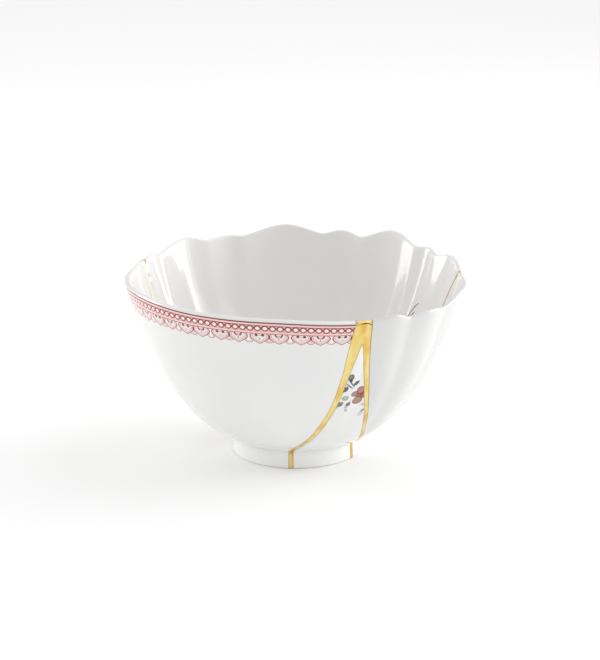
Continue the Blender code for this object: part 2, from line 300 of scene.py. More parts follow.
def tip_place(width):
    """The place where the legs of the fork are a width apart."""
    low, high = 0.5, 0.95
    for _ in range(40):
        middle = (low + high) / 2
        low, high = (middle, high) if fork_gap(middle) > width else (low, middle)
    return low


# Length of the wall's line from the foot up, step by step
LENGTH_STEPS = 400
LENGTHS = [0.0]
for step in range(LENGTH_STEPS):
    rise = wall_line((step + 1) / LENGTH_STEPS) - wall_line(step / LENGTH_STEPS)
    LENGTHS.append(LENGTHS[-1] + rise.length)


def below_lip(place):
    """Distance in mm down the wall from the lip."""
    spot = min(max(place, 0), 1) * LENGTH_STEPS
    step = min(int(spot), LENGTH_STEPS - 1)
    return (LENGTHS[-1] - LENGTHS[step] - (spot - step) * (LENGTHS[step + 1] - LENGTHS[step])) / MM


# Slabs, laid out before they are bent

def foot_rows(hub):
    """Rows from the hub to the foot of the wall: (place of the crack, under point, floor point)."""
    outer, inner = FOOT_RADIUS, FOOT_RADIUS - FOOT_WIDTH
    under = [Vector((inner - 2 * FOOT_ROUNDING, FOOT_RECESS))]
    quarter = [radians(angle) for angle in (15, 45, 75)]
    for angle in quarter:
        under.append(Vector((inner - 2 * FOOT_ROUNDING + sin(angle) * RECESS_ROUNDING,
                             FOOT_RECESS - (1 - cos(angle)) * RECESS_ROUNDING)))
    under += [Vector((inner - FOOT_ROUNDING / 4, height * FOOT_RECESS)) for height in (0.7, 0.4, 0.15)]
    under += [Vector((inner + FOOT_ROUNDING * (1 - cos(angle)), FOOT_ROUNDING * (1 - sin(angle))))
              for angle in quarter]
    under += [Vector((inner + (outer - inner) * share, 0)) for share in (0.35, 0.65)]
    under += [Vector((outer - FOOT_ROUNDING * (1 - sin(angle)), FOOT_ROUNDING * (1 - cos(angle))))
              for angle in quarter]
    rise = FOOT_HEIGHT - FOOT_ROUNDING
    for share in (0.15, 0.4, 0.6, 0.75, 0.86, 0.95):
        pooled = CORNER_GLAZE * max((share - 0.7) / 0.3, 0) ** 2
        under.append(Vector((outer - FOOT_TAPER * share + pooled, FOOT_ROUNDING + rise * share)))
    rows = []
    hub_share = hub / floor_edge().x
    for number in range(FLAT_ROWS):
        share = hub_share + (FLAT_SHARE - hub_share) * number / FLAT_ROWS
        rows.append((share - 1, Vector((floor_edge().x * share, FOOT_RECESS)), floor_point(share)))
    start, span = RING_SHARES
    for number, point in enumerate(under):
        rows.append((0, point, floor_point(start + span * number / (len(under) - 1))))
    return rows


def slab(columns, rows, layers):
    """The skin of a block of cells: (column, row, layer) of each corner, and its four-sided faces."""
    spots, corners, faces = {}, [], []

    def corner(*key):
        if key not in spots:
            spots[key] = len(corners)
            corners.append(key)
        return spots[key]

    def face(first, *others):
        faces.append(tuple(corner(*key) for key in (first, *others)))

    for i in range(columns):
        for j in range(rows):
            face((i, j, 0), (i + 1, j, 0), (i + 1, j + 1, 0), (i, j + 1, 0))
            face((i, j, layers), (i, j + 1, layers), (i + 1, j + 1, layers), (i + 1, j, layers))
    for j in range(rows):
        for k in range(layers):
            face((0, j, k), (0, j + 1, k), (0, j + 1, k + 1), (0, j, k + 1))
            face((columns, j, k), (columns, j, k + 1), (columns, j + 1, k + 1), (columns, j + 1, k))
    for i in range(columns):
        for k in range(layers):
            face((i, 0, k), (i, 0, k + 1), (i + 1, 0, k + 1), (i + 1, 0, k))
            face((i, rows, k), (i + 1, rows, k), (i + 1, rows, k + 1), (i, rows, k + 1))
    return corners, faces


def swell(edge):
    """Height of the gold over the glaze, by the distance from its nearest edge."""
    share = min(max(edge / GOLD_EDGE, 0), 1)
    return -GOLD_SINK + (GOLD_SINK + GOLD_RISE) * sqrt(1 - (1 - share) ** 2)


def gold_height(azimuth, place, edge):
    """The gold swells from its sides and lies a little uneven, as if laid with a brush."""
    uneven = GOLD_UNEVEN * (sin(azimuth * 2.3 + place * 31) + sin(place * 57 + azimuth * 0.9))
    return swell(edge) + uneven * min(edge / GOLD_EDGE, 1)


def degrees_to_mm(turn, radius):
    return radians(turn) * radius / MM


def lay_out(left, right, columns, top=1, hub=HUB_RADIUS, gold=False, crotch=None, edge_at=None,
            right_side=None):
    """Points, as dictionaries of what each one knows, and faces of a slab between two sides.

    A row is laid at the crotch, and edge_at gives the distance from the nearest edge where it isn't that
    from the slab's own sides. On porcelain beside_mm counts from the sprig's middle towards the right, and
    on gold from its right side towards the left.
    """
    rows = foot_rows(hub)
    fixed = [top] if crotch is None else [crotch, top]
    steps = [step / WALL_ROWS for step in range(WALL_ROWS)]
    steps = [step for step in steps if step < top and min(abs(step - place) for place in fixed) > ROW_GAP]
    rows += [(place, None, None) for place in sorted(steps + fixed)]
    corners, faces = slab(columns, len(rows) - 1, LAYERS)
    points, waves, sides = [], {}, {}
    for i, j, k in corners:
        place, under, floor = rows[j]
        angle = pi * k / LAYERS
        depth = (1 - cos(angle)) / 2
        if under is not None:
            point = under + (floor - under) * depth
            place = min(point.x / floor_edge().x - 1, 0)
        if (j, k) not in sides:
            sides[j, k] = left(place, depth), right(place, depth), crack_radius(place)
        start, end, radius = sides[j, k]
        azimuth = start + (end - start) * i / columns
        if azimuth not in waves:
            waves[azimuth] = (*wave_at(azimuth), fluted_share(azimuth))
        rim, hollow, fluted = waves[azimuth]
        lip = SMOOTH_LIP + (FLUTED_LIP - SMOOTH_LIP) * fluted
        on_lip = top == 1 and j == len(rows) - 1
        width = radians(end - start) * radius
        edge = edge_at(azimuth, place) if edge_at else min(i, columns - i) / columns * width
        out = gold_height(azimuth, place, edge) if gold else 0
        if under is None and place < CORNER_REACH and k == 0:
            out += CORNER_GLAZE * (1 - place / CORNER_REACH) ** 2
        foot_radius, foot_height = 0, 0
        if under is not None:
            outward = (under - floor).normalized() * (1 - 2 * depth) * out
            foot_radius = point.x + outward.x
            foot_height = max(point.y + outward.y, GOLD_OFF_GROUND if gold else 0)
        beside = right_side(place, depth) - azimuth if right_side else azimuth - SPRIG_AZIMUTH
        points.append({
            "azimuth": radians(azimuth),
            "place": max(place, 0),
            "depth": depth,
            "lip": lip,
            "rim": rim,
            "hollow": hollow * fluted,
            "out": out,
            "up": sin(angle) if on_lip else 0,
            "on_foot": 0 if under is None else 1,
            "foot_radius": foot_radius,
            "foot_height": foot_height,
            "turn_mm": degrees_to_mm(azimuth, RIM_RADIUS),
            "down_mm": below_lip(place) - (min(angle, pi - angle) * lip / 2 / MM if on_lip else 0),
            "edge_mm": edge / MM,
            "beside_mm": degrees_to_mm(beside, radius),
        })
    return points, faces


def lay_ridge(course, rows, columns=4):
    """A thin gold ridge on the inner face, along a course of (place, azimuth, half width in mm)."""
    corners, faces = slab(columns, rows, 1)
    centre = [(place, azimuth) for place, azimuth, half in course]
    breadth = [(place, half) for place, azimuth, half in course]
    points = []
    for i, j, k in corners:
        place = course[0][0] + (course[-1][0] - course[0][0]) * j / rows
        half = along(breadth, place) * MM
        across = 2 * i / columns - 1
        azimuth = along(centre, place) + degrees(across * half / crack_radius(place))
        rim, hollow = wave_at(azimuth)
        rounded = sqrt(1 - across * across) * sin(pi * (0.06 + 0.88 * j / rows)) ** 0.3
        points.append({
            "azimuth": radians(azimuth),
            "place": place,
            "depth": 1 if k else RIDGE_DEPTH,
            "lip": FLUTED_LIP,
            "rim": rim,
            "hollow": hollow,
            "out": RIDGE_HEIGHT * rounded if k else 0,
            "up": 0,
            "on_foot": 0,
            "foot_radius": 0,
            "foot_height": 0,
            "turn_mm": 0,
            "down_mm": below_lip(place),
            "edge_mm": (1 - abs(across)) * half / MM,
            "beside_mm": 0,
        })
    return points, faces


# Node formulas

class Reading:
    """A number in a node tree, written into formulas with the usual signs."""

    def __init__(self, tree, socket):
        self.tree = tree
        self.socket = socket

    def made(self, operation, *values):
        node = self.tree.nodes.new("ShaderNodeMath")
        node.operation = operation
        for entry, value in zip(node.inputs, (self, *values)):
            if isinstance(value, Reading):
                self.tree.links.new(value.socket, entry)
            else:
                entry.default_value = value
        return Reading(self.tree, node.outputs[0])

    def __add__(self, other):
        return self.made("ADD", other)

    def __sub__(self, other):
        return self.made("SUBTRACT", other)

    def __mul__(self, other):
        return self.made("MULTIPLY", other)

    def __truediv__(self, other):
        return self.made("DIVIDE", other)

    def __pow__(self, other):
        return self.made("POWER", other)

    def __rsub__(self, other):
        return self.made("MULTIPLY", -1).made("ADD", other)

    __radd__ = __add__
    __rmul__ = __mul__

    def most(self, other):
        return self.made("MAXIMUM", other)

    def least(self, other):
        return self.made("MINIMUM", other)

    def size(self):
        return self.made("ABSOLUTE")

    def wrapped(self, pitch):
        """Distance from the middle of the repeat that it falls in."""
        return (self / pitch).made("FRACT") * pitch - pitch / 2

    def rising(self, low, high):
        """0 below low, 1 above high, and smooth between them."""
        node = self.tree.nodes.new("ShaderNodeMapRange")
        node.interpolation_type = "SMOOTHSTEP"
        self.tree.links.new(self.socket, node.inputs["Value"])
        node.inputs["From Min"].default_value = low
        node.inputs["From Max"].default_value = high
        return Reading(self.tree, node.outputs["Result"])

    def under(self, limit, soft):
        """1 below a limit and 0 above it."""
        return 1 - self.rising(limit - soft, limit + soft)

    def near(self, middle, half, soft):
        """1 within half of a middle value."""
        return (self - middle).size().under(half, soft)


# The tree that bends a slab to the bowl

BENDING_FACTS = ("lip", "rim", "hollow", "out", "up", "on_foot", "foot_radius", "foot_height")
SPOT_FACTS = ("azimuth", "place", "depth", "foot_radius", "foot_height", "up")
BEND_SIZES = {
    "Rim Radius": RIM_RADIUS, "Rim Height": RIM_HEIGHT, "Foot Radius": FOOT_RADIUS - FOOT_TAPER,
    "Foot Height": FOOT_HEIGHT, "Foot Flare Out": FLARE_AT_FOOT[0], "Foot Flare Up": FLARE_AT_FOOT[1],
    "Rim Flare Out": FLARE_AT_RIM[0], "Rim Flare Down": FLARE_AT_RIM[1], "Wall At Foot": WALL_AT_FOOT,
    "Flute Depth": FLUTE_DEPTH, "Flute Reach": FLUTE_REACH, "Wave Reach": WAVE_REACH,
}


def make_bending_tree():
    """Moves each point of a slab to its place in the turned, fluted and scalloped wall."""
    tree = bpy.data.node_groups.new("Bend To Bowl", "GeometryNodeTree")
    tree.interface.new_socket("Geometry", in_out="INPUT", socket_type="NodeSocketGeometry")
    tree.interface.new_socket("Geometry", in_out="OUTPUT", socket_type="NodeSocketGeometry")
    for name in BEND_SIZES:
        tree.interface.new_socket(name, in_out="INPUT", socket_type="NodeSocketFloat")
    tree.interface.new_socket("Finish", in_out="INPUT", socket_type="NodeSocketMaterial")
    entry = tree.nodes.new("NodeGroupInput")
    size = {name: Reading(tree, entry.outputs[name]) for name in BEND_SIZES}

    def fact(name):
        node = tree.nodes.new("GeometryNodeInputNamedAttribute")
        node.data_type = "FLOAT"
        node.inputs["Name"].default_value = name
        return Reading(tree, node.outputs["Attribute"])

    share, depth, out, lip = fact("place"), fact("depth"), fact("out"), fact("lip")
    rest = 1 - share

    def wall(foot, low, high, rim):
        value = (rest ** 3) * foot + 3 * rest * rest * share * low + 3 * rest * share * share * high
        value = value + share ** 3 * rim
        slope = rest * rest * (low - foot) + 2 * rest * share * (high - low) + share * share * (rim - high)
        return value, slope

    radius, slope_out = wall(size["Foot Radius"], size["Foot Radius"] + size["Foot Flare Out"],
                             size["Rim Radius"] - size["Rim Flare Out"], size["Rim Radius"])
    height, slope_up = wall(size["Foot Height"], size["Foot Height"] + size["Foot Flare Up"],
                            size["Rim Height"] - size["Rim Flare Down"], size["Rim Height"])
    length = (slope_out * slope_out + slope_up * slope_up).made("SQRT")
    lean, upright = slope_out / length, slope_up / length
    thickness = size["Wall At Foot"] + (lip - size["Wall At Foot"]) * (1 - rest * rest)
    lift = (fact("rim") - size["Rim Height"] - lip * 0.5) * share ** size["Wave Reach"]
    inward = size["Flute Depth"] * fact("hollow") * share ** size["Flute Reach"]
    inward = inward + thickness * depth - out * (1 - 2 * depth)
    crown = fact("up") * (thickness * 0.5 + out)
    radius = radius + lift * lean / upright - upright * inward + lean * crown
    height = height + lift + lean * inward + upright * crown
    on_foot = fact("on_foot")
    radius = radius * (1 - on_foot) + fact("foot_radius") * on_foot
    height = height * (1 - on_foot) + fact("foot_height") * on_foot

    azimuth = fact("azimuth")
    spot = tree.nodes.new("ShaderNodeCombineXYZ")
    tree.links.new((radius * azimuth.made("COSINE")).socket, spot.inputs["X"])
    tree.links.new((radius * azimuth.made("SINE")).socket, spot.inputs["Y"])
    tree.links.new(height.socket, spot.inputs["Z"])
    move = tree.nodes.new("GeometryNodeSetPosition")
    realize = tree.nodes.new("GeometryNodeRealizeInstances")
    finish = tree.nodes.new("GeometryNodeSetMaterial")
    leave = tree.nodes.new("NodeGroupOutput")
    tree.links.new(entry.outputs["Geometry"], move.inputs["Geometry"])
    tree.links.new(spot.outputs["Vector"], move.inputs["Position"])
    tree.links.new(move.outputs["Geometry"], realize.inputs["Geometry"])
    tree.links.new(realize.outputs["Geometry"], finish.inputs["Geometry"])
    tree.links.new(entry.outputs["Finish"], finish.inputs["Material"])
    tree.links.new(finish.outputs["Geometry"], leave.inputs["Geometry"])
    return tree


def joined(slabs):
    """One skin from slabs: points at one spot are one point, and the faces between two slabs go."""
    spots, points, found = {}, [], {}
    for slab_points, slab_faces in slabs:
        numbers = []
        for point in slab_points:
            spot = tuple(round(point[name], 9) for name in SPOT_FACTS)
            if spot not in spots:
                spots[spot] = len(points)
                points.append(point)
            numbers.append(spots[spot])
        for face in slab_faces:
            corners = tuple(numbers[corner] for corner in face)
            key = tuple(sorted(corners))
            found[key] = None if key in found else corners
    return points, [corners for corners in found.values() if corners]


def bend(name, slabs, tree, finish):
    """One plain mesh object from one or more slabs, bent to the bowl."""
    mesh = bpy.data.meshes.new(name + "_slab")
    points, faces = joined(slabs)
    mesh.from_pydata([(point["azimuth"], point["place"], point["depth"]) for point in points], [], faces)
    for fact in points[0]:
        values = [point[fact] for point in points]
        mesh.attributes.new(fact, "FLOAT", "POINT").data.foreach_set("value", values)
    piece = bpy.data.objects.new(name, mesh)
    bpy.context.scene.collection.objects.link(piece)
    bending = piece.modifiers.new("Bend To Bowl", "NODES")
    bending.node_group = tree
    for item in tree.interface.items_tree:
        if item.in_out == "INPUT" and item.name in BEND_SIZES:
            bending[item.identifier] = BEND_SIZES[item.name]
        if item.in_out == "INPUT" and item.name == "Finish":
            bending[item.identifier] = finish
    bpy.context.view_layer.update()
    bent = bpy.data.meshes.new_from_object(piece.evaluated_get(bpy.context.evaluated_depsgraph_get()))
    piece.modifiers.clear()
    piece.data = bent
    bpy.data.meshes.remove(mesh)
    for fact in BENDING_FACTS:
        bent.attributes.remove(bent.attributes[fact])
    bent.shade_smooth()
    bent.set_sharp_from_angle(angle=radians(50))
    return piece


# Finishes

def new_finish(name):
    material = bpy.data.materials.new(name)
    material.use_nodes = True
    tree = material.node_tree
    return material, tree, tree.nodes["Principled BSDF"]


def surface_fact(tree, name):
    node = tree.nodes.new("ShaderNodeAttribute")
    node.attribute_name = name
    return Reading(tree, node.outputs["Fac"])


def painted_side(tree):
    """1 on the outer face, which is the painted one."""
    return surface_fact(tree, "depth").under(0.25, 0.05)


def noise(tree, scale, detail=2.0, stretch=(1, 1, 1)):
    """Noise from 0 to 1 on the piece's own coordinates, in repeats per metre."""
    place = tree.nodes.new("ShaderNodeTexCoord")
    mapping = tree.nodes.new("ShaderNodeMapping")
    mapping.inputs["Scale"].default_value = stretch
    texture = tree.nodes.new("ShaderNodeTexNoise")
    texture.inputs["Scale"].default_value = scale
    texture.inputs["Detail"].default_value = detail
    tree.links.new(place.outputs["Object"], mapping.inputs["Vector"])
    tree.links.new(mapping.outputs["Vector"], texture.inputs["Vector"])
    return Reading(tree, texture.outputs["Fac"])


def laid_over(tree, ground, paint, mask):
    """Paint over a ground, each a colour or a colour socket, where the mask is 1."""
    mix = tree.nodes.new("ShaderNodeMix")
    mix.data_type = "RGBA"
    mix.clamp_factor = True
    tree.links.new(mask.socket, mix.inputs["Factor"])
    for entry, value in ((mix.inputs[6], ground), (mix.inputs[7], paint)):
        if isinstance(value, tuple):
            entry.default_value = value
        else:
            tree.links.new(value, entry)
    return mix.outputs[2]


def bumped(tree, shader, height, strength, distance):
    bump = tree.nodes.new("ShaderNodeBump")
    bump.inputs["Strength"].default_value = strength
    bump.inputs["Distance"].default_value = distance
    tree.links.new(height.socket, bump.inputs["Height"])
    tree.links.new(bump.outputs["Normal"], shader.inputs["Normal"])


def glaze(name, decorate=None, white=GLAZE_WHITE, cloud=GLAZE_CLOUD):
    """White porcelain glaze: faintly wavy, whiter on the foot as painted light, greyer in the crease above it
    where glaze pools and as painted shade, and bare under the foot ring.
    """
    material, tree, shader = new_finish(name)
    place = tree.nodes.new("ShaderNodeTexCoord")
    split = tree.nodes.new("ShaderNodeSeparateXYZ")
    tree.links.new(place.outputs["Object"], split.inputs["Vector"])
    height = Reading(tree, split.outputs["Z"])
    base = laid_over(tree, white, cloud, noise(tree, 22, 3).rising(0.35, 0.7))
    # painted light: the foot is whiter, to lift the shade it lies in under the bowl
    base = laid_over(tree, base, FOOT_PAINTED_LIGHT, height.under(FOOT_HEIGHT, 3 * MM))
    # a faint greyer band in the crease above the foot: pooled glaze with painted shade
    base = laid_over(tree, base, GLAZE_POOL_AND_SHADE, height.near(FOOT_HEIGHT + 0.3 * MM, 0.9 * MM, 0.8 * MM) * 0.2)
    base = laid_over(tree, base, INNER_WHITE, surface_fact(tree, "depth").rising(0.6, 0.9))
    if decorate:
        base = decorate(tree, base)
    base = laid_over(tree, base, STAINED_EDGE, surface_fact(tree, "edge_mm").under(0.10, 0.10) * 0.8)
    bare = height.under(0.35 * MM, 0.2 * MM)
    base = laid_over(tree, base, BISCUIT, bare)
    tree.links.new(base, shader.inputs["Base Color"])
    roughness = 0.07 + 0.05 * noise(tree, 60, 2) + bare * 0.5
    tree.links.new(roughness.socket, shader.inputs["Roughness"])
    shader.inputs["IOR"].default_value = 1.5
    shader.inputs["Coat Weight"].default_value = 0.4
    shader.inputs["Coat Roughness"].default_value = 0.04
    bumped(tree, shader, noise(tree, 45, 2) + 0.15 * noise(tree, 900, 1), 0.25, 0.12 * MM)
    return material


def border(tree, ground):
    """The red lace border: a line, beads in a lattice, a ribbon, and hearts with scales between them."""
    turn, down = surface_fact(tree, "turn_mm"), surface_fact(tree, "down_mm")
    shown = painted_side(tree)
    ink = 0.92 + 0.08 * noise(tree, 700, 1)
    paint = ground

    def add(paint, tone, mask):
        return laid_over(tree, paint, tone, mask * shown)

    # Two hearts meet at each knot, and between two such pairs a leaf stays open
    from_knot = (turn - KNOT_TURN + HEART_PITCH).wrapped(2 * HEART_PITCH)
    right_heart = from_knot.rising(-0.02, 0.02)
    from_leaf = HEART_PITCH - from_knot.size()
    from_joint = from_knot.size().least(from_leaf)
    fall = down - HEART_TOP
    begun = fall.rising(-0.05, 0.05)

    # Scales that peep out below the joints
    below = (fall - SCALE_MIDDLE).most(0) * (SCALE_HALF_WIDTH / (SCALE_BOTTOM - SCALE_MIDDLE))
    scale_side = (from_joint * from_joint + below * below).made("SQRT") - SCALE_HALF_WIDTH
    paint = add(paint, colour(250, 226, 222), scale_side.under(0, 0.12) * begun)
    paint = add(paint, MAUVE, scale_side.near(0, 0.2, 0.12) * begun * 0.85)
    paint = add(paint, MAUVE, (scale_side + 0.95).near(0, 0.12, 0.12) * fall.rising(3, 3.4) * 0.6)
    lens = (from_leaf * 1.5 - fall * 0.25).under(0.3, 0.2)
    paint = add(paint, colour(255, 243, 238), lens * begun * fall.under(4.6, 0.5))
    diamond = (from_knot.size() + (fall - 3.1).size() * 0.9).under(1.1, 0.2)
    paint = add(paint, colour(242, 186, 182), diamond * begun)

    # Hearts
    across = from_knot.size() - HEART_HALF_WIDTH
    point = ((fall - SHOULDER) / (HEART_LENGTH - SHOULDER)).most(0)
    shoulder = ((SHOULDER - fall) / (SHOULDER + 1.1)).most(0)
    half_width = HEART_HALF_WIDTH * (1 - point ** 1.7) * (1 - shoulder * shoulder).most(0).made("SQRT")
    side = (across.size() - half_width) * (1 - 0.5 * point.least(1))
    in_heart = begun * fall.under(HEART_LENGTH + 0.3, 0.05)
    strong = fall.under(3.4, 1.6)
    paint = add(paint, HEART_FILL, side.under(0, 0.1) * in_heart)
    paint = add(paint, PALE_PINK, side.near(-0.6, 0.35, 0.1) * in_heart)
    paint = add(paint, MAUVE, side.near(-1.15, 0.11, 0.1) * in_heart * 0.75)
    paint = add(paint, MAUVE, side.near(0, 0.24, 0.1) * in_heart * 0.9)
    paint = add(paint, DARK_RED, side.near(0, 0.26, 0.1) * in_heart * strong * ink)
    paint = add(paint, MAUVE, side.near(-2.1, 0.1, 0.1) * in_heart * fall.rising(1.8, 2.4) * 0.4)
    dot = ((across * across) * 2 + (fall - 3.2) * (fall - 3.2)).under(0.3, 0.15)
    paint = add(paint, colour(150, 118, 122), dot * in_heart * 0.6)

    # At the top of a heart, in turn two blobs on a thread, and a scroll with a stalk
    beyond = across.size() - 1.75
    blob = (beyond * beyond * 0.8 + (fall - 0.95) * (fall - 0.95)).under(0.6, 0.25)
    thread = fall.near(1.0, 0.13, 0.1) * across.size().under(1.6, 0.1)
    arch = (across * across + (fall - 0.1) * (fall - 0.1)).made("SQRT")
    scroll = arch.near(1.85, 0.42, 0.15) * across.size().rising(0.5, 1.0)
    stalk = across.size().under(0.16, 0.1) * fall.near(2.8, 0.7, 0.15)
    under_scroll = arch.under(1.9, 0.2) * fall.rising(0.6, 1.2)
    paint = add(paint, colour(240, 168, 164), under_scroll * right_heart * in_heart)
    paint = add(paint, MAUVE, stalk * right_heart * 0.8)
    paint = add(paint, MID_RED, thread * (1 - right_heart) * in_heart * 0.9)
    crest = (blob * (1 - right_heart) + scroll * right_heart).least(1)
    paint = add(paint, DARK_RED, crest * in_heart * ink)
    knot = (from_knot.size() + (fall - SHOULDER).size() * 0.7).under(0.7, 0.2)
    paint = add(paint, DARK_RED, knot * begun * ink)

    # The band, with its beads in a lattice and the arcs between them
    band = down.near((LINE_DOWN + HEART_TOP) / 2, (HEART_TOP - LINE_DOWN) / 2, 0.06)
    paint = add(paint, PALE_PINK, band)
    step = (turn - KNOT_TURN + BEAD_PITCH / 2).wrapped(BEAD_PITCH)
    drop = down - BEAD_MIDDLE
    lozenge = step.size() / (BEAD_PITCH / 2) + drop.size() / BEAD_REACH
    in_row = drop.size().under(BEAD_REACH + 0.1, 0.05)
    paint = add(paint, colour(232, 128, 126), lozenge.rising(1.0, 1.1) * in_row * drop.under(0, 0.3))
    gap = BEAD_PITCH / 2 - step.size()
    arc = (gap * gap + (drop.size() - BEAD_REACH - 0.1) * (drop.size() - BEAD_REACH - 0.1)).made("SQRT")
    paint = add(paint, colour(250, 200, 194), arc.under(0.75, 0.1) * in_row)
    paint = add(paint, MID_RED, arc.near(0.8, 0.1, 0.08) * in_row * 0.8)
    paint = add(paint, DARK_RED, lozenge.near(1.0, 0.27, 0.07) * in_row * ink)
    bead = (step * step * 0.9 + drop * drop * 1.1).made("SQRT")
    paint = add(paint, BEAD_WHITE, bead.under(BEAD_RADIUS, 0.12))
    paint = add(paint, colour(214, 150, 140), bead.under(0.2, 0.15) * 0.5)

    # Lines along the band
    paint = add(paint, DARK_RED, down.near(LINE_DOWN, 0.36, 0.06) * ink)
    paint = add(paint, DARK_RED, down.near(BEAD_MIDDLE - BEAD_REACH - 0.05, 0.2, 0.08) * ink * 0.95)
    paint = add(paint, MID_RED, down.near(BEAD_MIDDLE + BEAD_REACH + 0.1, 0.12, 0.08) * 0.5)
    paint = add(paint, DARK_RED, down.near(HEART_TOP, 0.18, 0.08) * 0.85)
    return paint


# The sprig's strokes: middle (beside and below the lip), half length and half width in mm, the angle of their
# length, the wash and its darker rim. Stems and leaves are pointed at both ends, rounds and petals are oval.
STEMS = (
    (-5.0, 40.1, 4.2, 1.05, 48, colour(222, 234, 236), colour(196, 212, 214)),
    (-5.0, 39.2, 4.2, 0.36, 54, colour(70, 108, 108), colour(60, 96, 98)),
    (-5.9, 41.1, 3.6, 0.38, 43, colour(104, 118, 124), colour(88, 102, 108)),
    (-10.0, 56.3, 1.5, 0.4, 106, colour(168, 178, 166), colour(150, 162, 150)),
    (-3.2, 53.0, 1.5, 0.22, 118, colour(150, 158, 146), colour(132, 142, 130)),
    (-5.2, 56.9, 0.9, 0.5, 143, colour(196, 206, 196), colour(180, 190, 180)),
)
LEAVES = (
    (-1.9, 39.8, 2.2, 1.35, -40, colour(26, 34, 20), colour(18, 22, 14)),
    (-7.9, 43.2, 2.4, 1.6, 118, colour(40, 48, 28), colour(24, 28, 16)),
    (-8.8, 54.2, 2.3, 1.8, 143, colour(88, 102, 78), colour(56, 70, 52)),
    (-3.9, 54.9, 1.9, 1.4, 112, colour(78, 96, 74), colour(50, 64, 48)),
    (-4.6, 57.1, 1.2, 0.8, 120, colour(176, 188, 176), colour(150, 164, 152)),
    (6.4, 61.8, 1.9, 0.8, 133, colour(132, 146, 136), colour(106, 122, 112)),
)
ROUNDS = (
    (-6.0, 35.0, 2.3, 1.75, 84, colour(74, 82, 56), colour(34, 46, 30)),
    (-6.3, 34.5, 0.9, 0.6, 80, colour(146, 140, 116), colour(132, 128, 104)),
    (-5.7, 37.2, 1.2, 0.9, 80, colour(34, 56, 48), colour(28, 46, 40)),
    (-6.6, 49.8, 1.9, 1.7, 14, colour(158, 170, 150), colour(122, 136, 116)),
    (-6.7, 49.2, 0.9, 0.7, 14, colour(196, 204, 190), colour(190, 198, 184)),
    (-4.1, 59.6, 1.1, 0.9, 76, colour(172, 176, 178), colour(150, 154, 156)),
    (5.2, 57.0, 1.0, 0.8, 76, colour(182, 188, 194), colour(164, 172, 178)),
    (5.8, 64.5, 1.8, 1.35, 104, colour(204, 214, 208), colour(176, 190, 184)),
)
PETALS = (
    (3.7, 49.2, 2.6, 1.7, 66, colour(150, 86, 52), colour(108, 56, 34)),
    (1.9, 45.7, 2.8, 2.3, 78, colour(176, 108, 92), colour(92, 70, 64)),
    (-1.3, 47.8, 2.3, 1.95, 22, colour(156, 102, 76), colour(108, 66, 46)),
    (1.2, 53.0, 2.9, 2.8, -30, colour(166, 112, 80), colour(88, 42, 26)),
    (1.8, 49.3, 2.4, 1.4, -20, colour(150, 66, 42), colour(136, 52, 34)),
    (2.0, 46.4, 1.1, 0.9, 78, colour(198, 122, 104), colour(196, 120, 102)),
    (0.6, 53.6, 1.4, 1.1, -30, colour(184, 134, 102), colour(180, 130, 98)),
)


def sprig(tree, ground):
    """A russet flower and grey-green leaves on thin stems, painted under the glaze."""
    beside, down = surface_fact(tree, "beside_mm"), surface_fact(tree, "down_mm")
    shown = painted_side(tree)
    wash = 0.8 + 0.2 * noise(tree, 420, 3)
    paint = ground

    def turned(x, y, angle):
        shift_x, shift_y = beside - x, down - y
        c, s = cos(radians(angle)), sin(radians(angle))
        return shift_x * c + shift_y * s, shift_y * c - shift_x * s

    for x, y, length, width, angle, tone, dark in STEMS + LEAVES:
        lengthwise, sideways = turned(x, y, angle)
        share = lengthwise / length
        side = sideways.size() - width * (1 - share * share)
        line = side.near(-0.1, 0.16, 0.12) * share.size().under(1, 0.05)
        paint = laid_over(tree, paint, tone, side.under(0, 0.14) * shown * wash)
        paint = laid_over(tree, paint, dark, line * shown * 0.7)
    for x, y, length, width, angle, tone, dark in ROUNDS + PETALS:
        lengthwise, sideways = turned(x, y, angle)
        ring = ((lengthwise / length) ** 2 + (sideways / width) ** 2).made("SQRT")
        paint = laid_over(tree, paint, tone, ring.under(1, 0.08) * shown * wash)
        paint = laid_over(tree, paint, dark, ring.near(0.9, 0.1, 0.12) * shown * 0.8)
    return paint


